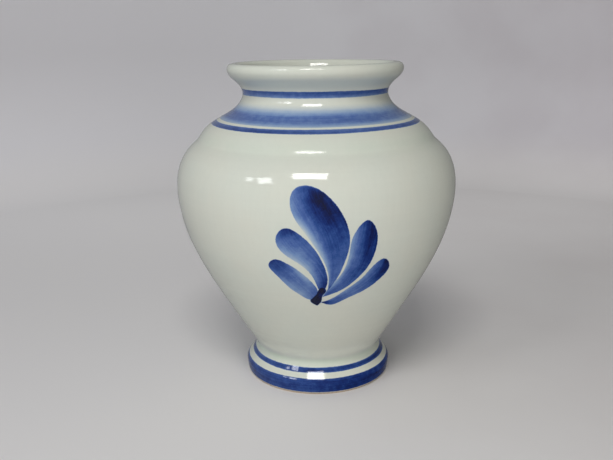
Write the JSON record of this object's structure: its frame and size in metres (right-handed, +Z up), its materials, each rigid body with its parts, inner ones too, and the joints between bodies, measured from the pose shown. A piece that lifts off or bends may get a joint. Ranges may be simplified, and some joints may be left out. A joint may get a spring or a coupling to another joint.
{
  "type": "pottery vase",
  "caption": "Squat baluster vase with a flared lip, round shoulder, tapering belly and turned foot ring, tin-white glaze with cobalt-blue rings and brushed petal flowers.",
  "frame": {"origin": "centre of the foot ring on the surface that the vase stands on", "axes": "+Z up along the vase's axis of turning; -Y towards the viewer, facing flower_front"},
  "size_m": [0.144, 0.144, 0.165],
  "materials": {
    "clay": "unglazed, matte, fine-grained",
    "glaze": "glossy, pale greenish white",
    "cobalt": "glossy, brushed cobalt blue under the glaze"
  },
  "bodies": {
    "root": {"clay_foot": "clay", "clay_belly": "clay", "clay_shoulder": "clay", "clay_lip": "clay", "outer_glaze": "glaze", "inner_glaze": "glaze", "foot_band": "cobalt", "foot_line": "cobalt", "shoulder_line": "cobalt", "shoulder_wash": "cobalt", "neck_band": "cobalt", "flower_front": "cobalt", "flower_left": "cobalt", "flower_right": "cobalt"}
  },
  "joints": []
}
